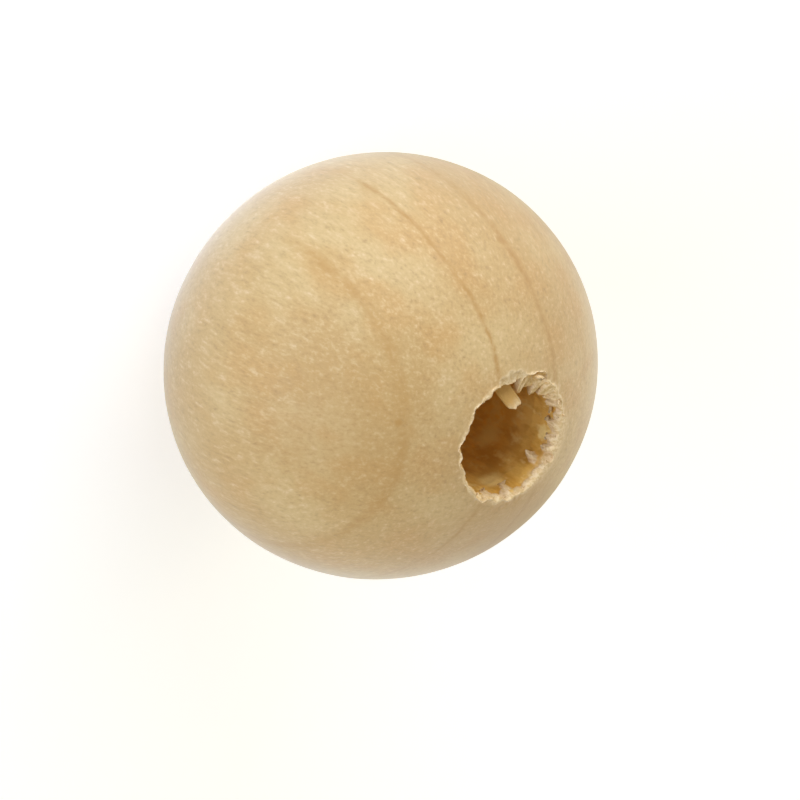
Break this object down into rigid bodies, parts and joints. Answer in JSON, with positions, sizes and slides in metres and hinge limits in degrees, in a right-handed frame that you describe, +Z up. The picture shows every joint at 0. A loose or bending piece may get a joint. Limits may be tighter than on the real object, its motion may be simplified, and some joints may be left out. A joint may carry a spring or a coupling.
{
  "type": "wooden rondelle bead",
  "caption": "Nearly round bead of bare turned wood, slightly flattened along a through hole with one torn mouth.",
  "frame": {"origin": "on the surface that the bead stands on, under the middle of the hole", "axes": "+Z up along the hole, out of the torn mouth; +X along the bead's longer width across the grain"},
  "size_m": [0.0122, 0.0118, 0.0109],
  "materials": {
    "bare_wood": "bare turned hardwood, matt and slightly fuzzy, fine streaks along the hole, faint orange growth lines, darker wall in the hole and pale torn fibres round its upper mouth"
  },
  "bodies": {
    "root": {"bead": "bare_wood"}
  },
  "joints": []
}
